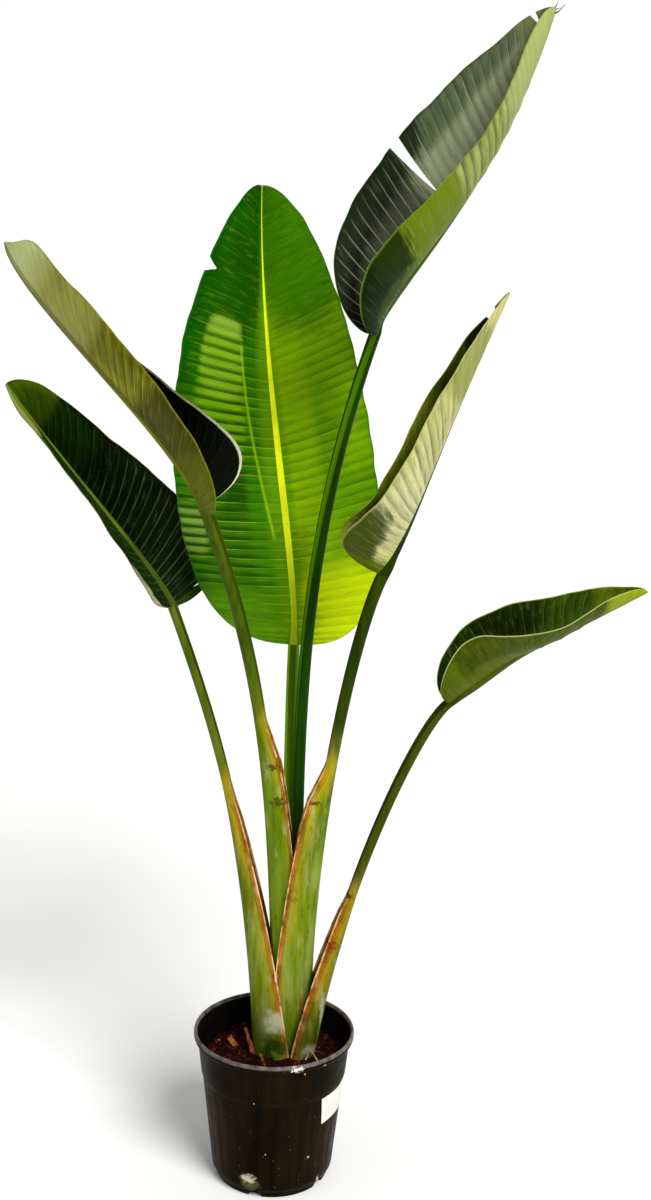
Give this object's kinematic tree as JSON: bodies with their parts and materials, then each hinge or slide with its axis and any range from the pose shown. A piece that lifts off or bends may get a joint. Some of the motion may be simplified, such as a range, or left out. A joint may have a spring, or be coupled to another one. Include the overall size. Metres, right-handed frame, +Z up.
{
  "type": "potted bird of paradise plant",
  "caption": "Tall house plant in a round black grow pot: long-stalked, banana-like leaves that stand as a flat fan.",
  "frame": {"origin": "middle of the pot's underside, on the floor", "axes": "+Z up; X runs along the flat fan of leaves, with the tallest leaf towards +X; -Y is the side that the picture shows"},
  "size_m": [0.9382, 0.3856, 1.7562],
  "materials": {
    "pot_plastic": "black blow-moulded plastic, half gloss, scuffed on its edges",
    "label_paper": "matt blank sticker",
    "stalk_green": "smooth fleshy stem, green with a pale bloom and brown margins on the sheath",
    "blade_green": "waxy leaf, half gloss, veined across",
    "potting_mix": "rough damp bark and peat",
    "dry_bark": "dry, dull orange brown"
  },
  "bodies": {
    "root": {"pot": "pot_plastic", "label": "label_paper", "stalk_lower_right": "stalk_green", "blade_lower_right": "blade_green", "stalk_lower_left": "stalk_green", "blade_lower_left": "blade_green", "stalk_right": "stalk_green", "blade_right": "blade_green", "stalk_upper_left": "stalk_green", "blade_upper_left": "blade_green", "stalk_top_right": "stalk_green", "blade_top_right": "blade_green", "stalk_centre": "stalk_green", "blade_centre": "blade_green", "root_stub_tall": "dry_bark", "root_stub_front": "dry_bark", "twig": "dry_bark", "bark_flake": "dry_bark", "soil": "potting_mix"}
  },
  "joints": []
}
